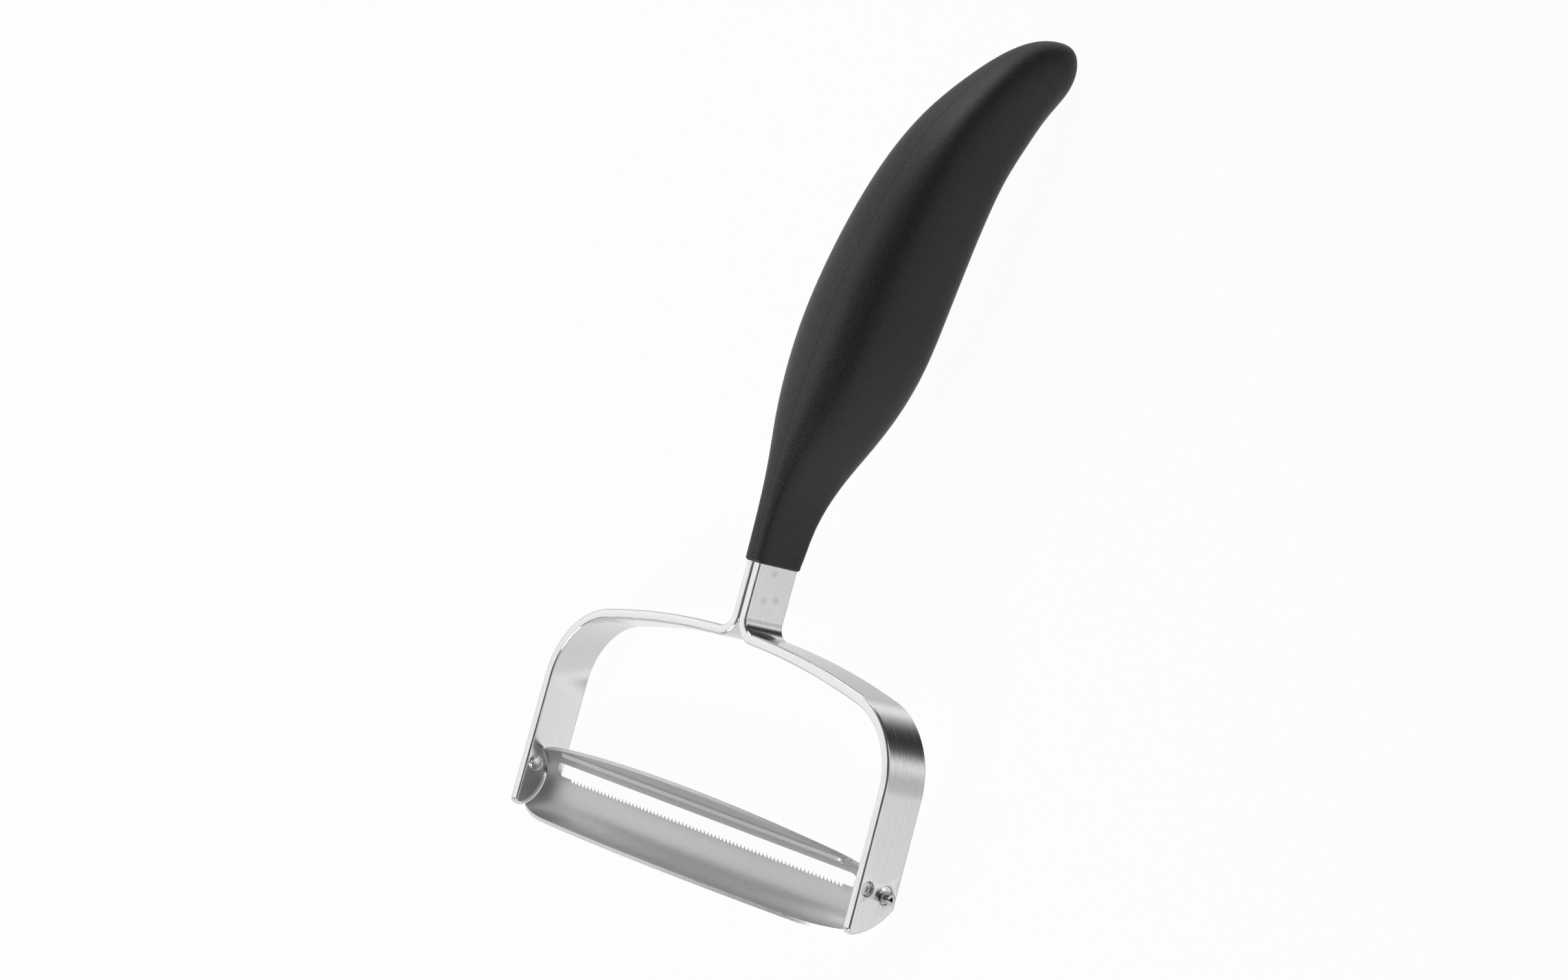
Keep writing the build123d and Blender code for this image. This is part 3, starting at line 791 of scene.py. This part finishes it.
# Relief cuts beside the pins' tabs, and the shallow notch where each tab leaves the sheet
relief_width = 0.7 * mm
relief_depth = 1.3 * mm
relief_offset = 1.75 * mm
notch_width = 3.0 * mm
notch_depth = 0.75 * mm
cut_overrun = 1.0 * mm
cut_reach = 1.2 * mm
cut_round_steps = 8
pin_angle = atan2(pin_height, pin_depth + trough_radius)
blade_piece = bpy.data.objects.new("blade_being_worked", rolled_mesh)
scene.collection.objects.link(blade_piece)
tools = []
for side in (-1, 1):
    cuts = [(-relief_offset, relief_width, relief_depth), (relief_offset, relief_width, relief_depth),
            (0.0, notch_width, notch_depth)]
    for offset, width, depth in cuts:
        rounds = [(cut_overrun, -width / 2), (cut_overrun, width / 2)]
        end = min(width / 2, depth)
        for number in range(cut_round_steps + 1):
            turn = pi / 2 + pi * number / cut_round_steps
            rounds.append((-depth + end + end * cos(turn), width / 2 * sin(turn)))
        points = []
        for deep in (trough_radius - cut_reach, trough_radius + cut_reach):
            for x, along_sheet in rounds:
                along_sheet += offset
                points.append((side * (blade_half + x),
                               deep * cos(pin_angle) - trough_radius - along_sheet * sin(pin_angle),
                               deep * sin(pin_angle) + along_sheet * cos(pin_angle)))
        count = len(rounds)
        faces = [tuple(range(count)), tuple(reversed(range(count, 2 * count)))]
        for number in range(count):
            after = (number + 1) % count
            faces.append((number, number + count, after + count, after))
        mesh = bpy.data.meshes.new("relief")
        mesh.from_pydata(points, [], faces)
        mesh.materials.append(sheared)
        tool = bpy.data.objects.new("relief", mesh)
        scene.collection.objects.link(tool)
        tools.append((tool, "DIFFERENCE"))
blade_mesh = worked(blade_piece, tools, 40)
bpy.data.objects.remove(blade_piece)
swung = Matrix.Translation(pivot) @ Matrix.Rotation(laid_turn + trough_turn, 4, "X")
swung = swung @ Matrix.Translation((0.0, -pin_depth, -pin_height))
blade_mesh.transform(swung)
trough = bpy.data.objects.new("trough_blade", blade_mesh)
scene.collection.objects.link(trough)
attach(trough, "cutter")
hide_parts("blade")

# Pivot pins
# The tab at each end of the blade is rolled up into a hard little tube, whose bore closes to a
# triangle and whose seam stays open by a hair. It hangs loose in the arm's hole.
pin_proud_length = 2.0 * mm
pin_root_length = 1.7 * mm
pin_bore_radius = 0.55 * mm
pin_seam_width = 0.14 * mm
pin_rim_radius = 0.22 * mm
pin_root_bevel = 0.12 * mm
pin_root_bevel_step = 0.04 * mm
pin_round_steps = 40
rubbed_depth = 0.05 * mm
pin_dark = (0.42, 0.41, 0.4, 1.0)
pin_light = (0.72, 0.71, 0.7, 1.0)
pin_start = blade_half - pin_root_length
pin_end = arm_outside + pin_proud_length
pin_steps = [(pin_start, pin_root_bevel), (pin_start + pin_root_bevel_step, pin_root_bevel_step),
             (pin_start + pin_root_bevel, 0.0)]
for share in (0.2, 0.4, 0.6, 0.8):
    pin_steps.append((pin_start + (pin_end - pin_start) * share, 0.0))
for number in range(7):
    angle = pi / 2 * number / 6
    pin_steps.append((pin_end - pin_rim_radius * (1 - sin(angle)), pin_rim_radius * (1 - cos(angle))))


def pin_outline(inset):
    """The rolled tab's section: round outside, a triangle inside, open at the seam."""
    outside = pin_radius - inset
    half_seam = asin((pin_seam_width / 2 + inset * 0.3) / outside)
    made = []
    for number in range(pin_round_steps + 1):
        angle = pi / 2 + half_seam + (2 * pi - 2 * half_seam) * number / pin_round_steps
        made.append((outside * cos(angle), outside * sin(angle)))
    for number in range(pin_round_steps, -1, -1):
        angle = pi / 2 + half_seam * 1.6 + (2 * pi - 3.2 * half_seam) * number / pin_round_steps
        from_corner = (angle - pi / 2 + pi / 3) % (2 * pi / 3) - pi / 3
        flat = pin_bore_radius * 0.5 / cos(pi / 3 - abs(from_corner))
        reach = min(flat, pin_bore_radius * 0.88) + inset * 0.8
        made.append((reach * cos(angle), reach * sin(angle)))
    return made


along_sheet = Vector((0.0, -sin(pin_angle), cos(pin_angle)))
off_sheet = Vector((0.0, cos(pin_angle), sin(pin_angle)))
points = []
faces = []
for side in (1, -1):
    start = len(points)
    for across, inset in pin_steps:
        for off, along_off in pin_outline(inset):
            spot = Vector((side * across, pin_depth, pin_height)) + off_sheet * along_off * -1
            points.append(spot + along_sheet * off)
    count = len(pin_outline(0.0))
    added = []
    for step in range(len(pin_steps) - 1):
        for number in range(count):
            after = (number + 1) % count
            low = start + step * count
            added.append((low + number, low + after, low + count + after, low + count + number))
    half = count // 2
    for step in (0, len(pin_steps) - 1):
        low = start + step * count
        for number in range(half - 1):
            end = (low + number, low + number + 1, low + count - 2 - number, low + count - 1 - number)
            added.append(end if step == 0 else tuple(reversed(end)))
    faces += added
mesh = bpy.data.meshes.new("rolled_pins")
mesh.from_pydata(points, [], faces)
pins = bpy.data.objects.new("rolled_pins", mesh)
burnished, wire_pin, pin_shader = finish("burnished_pin_steel", (0.6, 0.59, 0.57), 1.0, 0.2)
spot = wire_pin.node("ShaderNodeTexCoord", out=3)
drawn = wire_pin.node("ShaderNodeMapping", links={"Vector": spot, "Scale": (0.15, 1.0, 1.0)})
rubbed = wire_pin.node("ShaderNodeTexNoise", {"noise_dimensions": "3D"},
                       {"Vector": drawn, "Scale": 2400.0, "Detail": 3.0, "Roughness": 0.6})
bump = wire_pin.node("ShaderNodeBump", links={"Strength": 0.5, "Distance": rubbed_depth, "Height": rubbed})
wire_pin.tree.links.new(bump.socket, pin_shader.inputs["Normal"])
rough = 0.1 + rubbed * 0.16
wire_pin.tree.links.new(rough.socket, pin_shader.inputs["Roughness"])
shade = wire_pin.node("ShaderNodeMix", {"data_type": "RGBA"},
                      {0: rubbed, 6: pin_dark, 7: pin_light}, out=2)
wire_pin.tree.links.new(shade.socket, pin_shader.inputs["Base Color"])
mesh.materials.append(burnished)
scene.collection.objects.link(pins)
shell = bmesh.new()
shell.from_mesh(mesh)
bmesh.ops.recalc_face_normals(shell, faces=shell.faces)
shell.to_mesh(mesh)
shell.free()
pins.data = worked(pins, [], 50)
pins.data.transform(swung)
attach(pins, "cutter")
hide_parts("blade")

# Studio
# A plain pale floor under soft light, and a long lens at the photograph's angle. The camera's place and
# its three ways are given for the tool standing up, and are turned down with it.
picture_width = 2420
lens_in_pixels = 7842.46
sensor_width = 36.0
stand_height = 47.0 * mm
camera_right = Vector((0.64163, 0.721558, 0.260125))
camera_down = Vector((0.190628, 0.178482, -0.9653))
camera_forward = Vector((-0.742948, 0.668953, -0.02303))
camera_spot = Vector((732.335 * mm, -661.617 * mm, 1.243 * mm))
scene.view_settings.view_transform = "Standard"
stand = laid @ Matrix.Translation((0.0, 0.0, stand_height))
right = (stand.to_3x3() @ camera_right).normalized()
down = (stand.to_3x3() @ camera_down).normalized()
forward = (stand.to_3x3() @ camera_forward).normalized()
camera = bpy.data.objects.new("camera", bpy.data.cameras.new("camera"))
scene.collection.objects.link(camera)
camera.data.sensor_width = sensor_width
camera.data.lens = lens_in_pixels / picture_width * sensor_width
camera.data.clip_start = 0.05
camera.data.clip_end = 20.0
placed = Matrix((right, -down, -forward)).transposed().to_4x4()
placed.translation = stand @ camera_spot
camera.matrix_world = placed
scene.camera = camera

floor_half = 1.5
mesh = bpy.data.meshes.new("floor")
floor_corners = [(-floor_half, -floor_half, 0), (floor_half, -floor_half, 0), (floor_half, floor_half, 0),
                 (-floor_half, floor_half, 0)]
mesh.from_pydata(floor_corners, [], [(0, 1, 2, 3)])
floor = bpy.data.objects.new("floor", mesh)
scene.collection.objects.link(floor)
pale = bpy.data.materials.new("pale_floor")
pale.use_nodes = True
pale.node_tree.nodes.clear()
wire = Wire(pale.node_tree)
rays = wire.node("ShaderNodeLightPath")
surface = wire.node("ShaderNodeBsdfDiffuse", links={0: (0.82, 0.82, 0.82, 1.0)})
glow = wire.node("ShaderNodeEmission", links={0: (1.0, 1.0, 1.0, 1.0), 1: 1.0})
mixed = wire.node("ShaderNodeMixShader", links={0: rays * 0.96, 1: surface, 2: glow})
clear = wire.node("ShaderNodeBsdfTransparent")
mixed = wire.node("ShaderNodeMixShader", links={0: rays.part("Is Glossy Ray"), 1: mixed, 2: clear})
wire.node("ShaderNodeOutputMaterial", links={0: mixed})
mesh.materials.append(pale)

# The room: white for the camera and dim as light. The metal mirrors a white tent round the tool, given as
# degrees round it and brightness there, with one dark gap that makes the bands at the arms' corners
tent_sides = [(-180, 1.0), (-150, 0.88), (-60, 0.78), (-12, 0.8), (0, 1.0), (7.5, 1.0), (9.5, 0.64),
              (35, 0.54), (40, 1.0), (50, 1.0), (54, 0.25), (60, 0.1), (75, 0.03), (90, 0.1), (104, 0.55),
              (110, 1.0), (121, 1.0), (128, 0.62), (143, 0.6), (163, 0.9), (180, 1.0)]
tent_fade = (0.26, 0.57)
above_tent = (0.12, 0.12, 0.12, 1.0)
dim_heights = [(0.0, 0.05), (0.3, 0.07), (0.7, 0.15), (1.0, 0.25)]
world = bpy.data.worlds.new("studio")
scene.world = world
world.use_nodes = True
world.node_tree.nodes.clear()
wire = Wire(world.node_tree)
rays = wire.node("ShaderNodeLightPath")
way = wire.node("ShaderNodeSeparateXYZ", links={0: wire.node("ShaderNodeTexCoord", out=0)})
height = way.part(2)
side = wire.maths("ARCTAN2", way.part(1), way) / (2 * pi) + 0.5
tent_stops = [(turn / 360 + 0.5, shade) for turn, shade in tent_sides]
sides = wire.node("ShaderNodeValToRGB", {"stops": tent_stops}, {0: side})
dim = wire.node("ShaderNodeValToRGB", {"stops": dim_heights}, {0: height})
tent = wire.node("ShaderNodeMix", {"data_type": "RGBA"},
                 {0: height.step(*tent_fade), 6: sides, 7: above_tent}, out=2)
lit = wire.node("ShaderNodeMix", {"data_type": "RGBA"},
                {0: rays.part("Is Glossy Ray"), 6: dim, 7: tent}, out=2)
lit = wire.node("ShaderNodeMix", {"data_type": "RGBA"}, {0: rays, 6: lit, 7: (1.0, 1.0, 1.0, 1.0)}, out=2)
back = wire.node("ShaderNodeBackground", links={0: lit, 1: 1.0})
wire.node("ShaderNodeOutputWorld", links={0: back})


def panel(name, spot, wide, high, power, target=(0.0, -0.03, 0.01)):
    """A soft panel lamp that looks at the tool."""
    lamp = bpy.data.lights.new(name, "AREA")
    lamp.shape = "RECTANGLE"
    lamp.size = wide
    lamp.size_y = high
    lamp.energy = power
    made = bpy.data.objects.new(name, lamp)
    scene.collection.objects.link(made)
    made.location = spot
    made.rotation_euler = (Vector(target) - Vector(spot)).to_track_quat("-Z", "Y").to_euler()
    return made


panel("left_panel", (-0.6, -0.03, 0.56), 0.8, 0.5, 1.22)
panel("front_panel", (-0.05, -0.75, 0.6), 0.32, 0.28, 4.6)
panel("back_panel", (-0.36, 0.72, 0.5), 0.5, 0.2, 2.0)
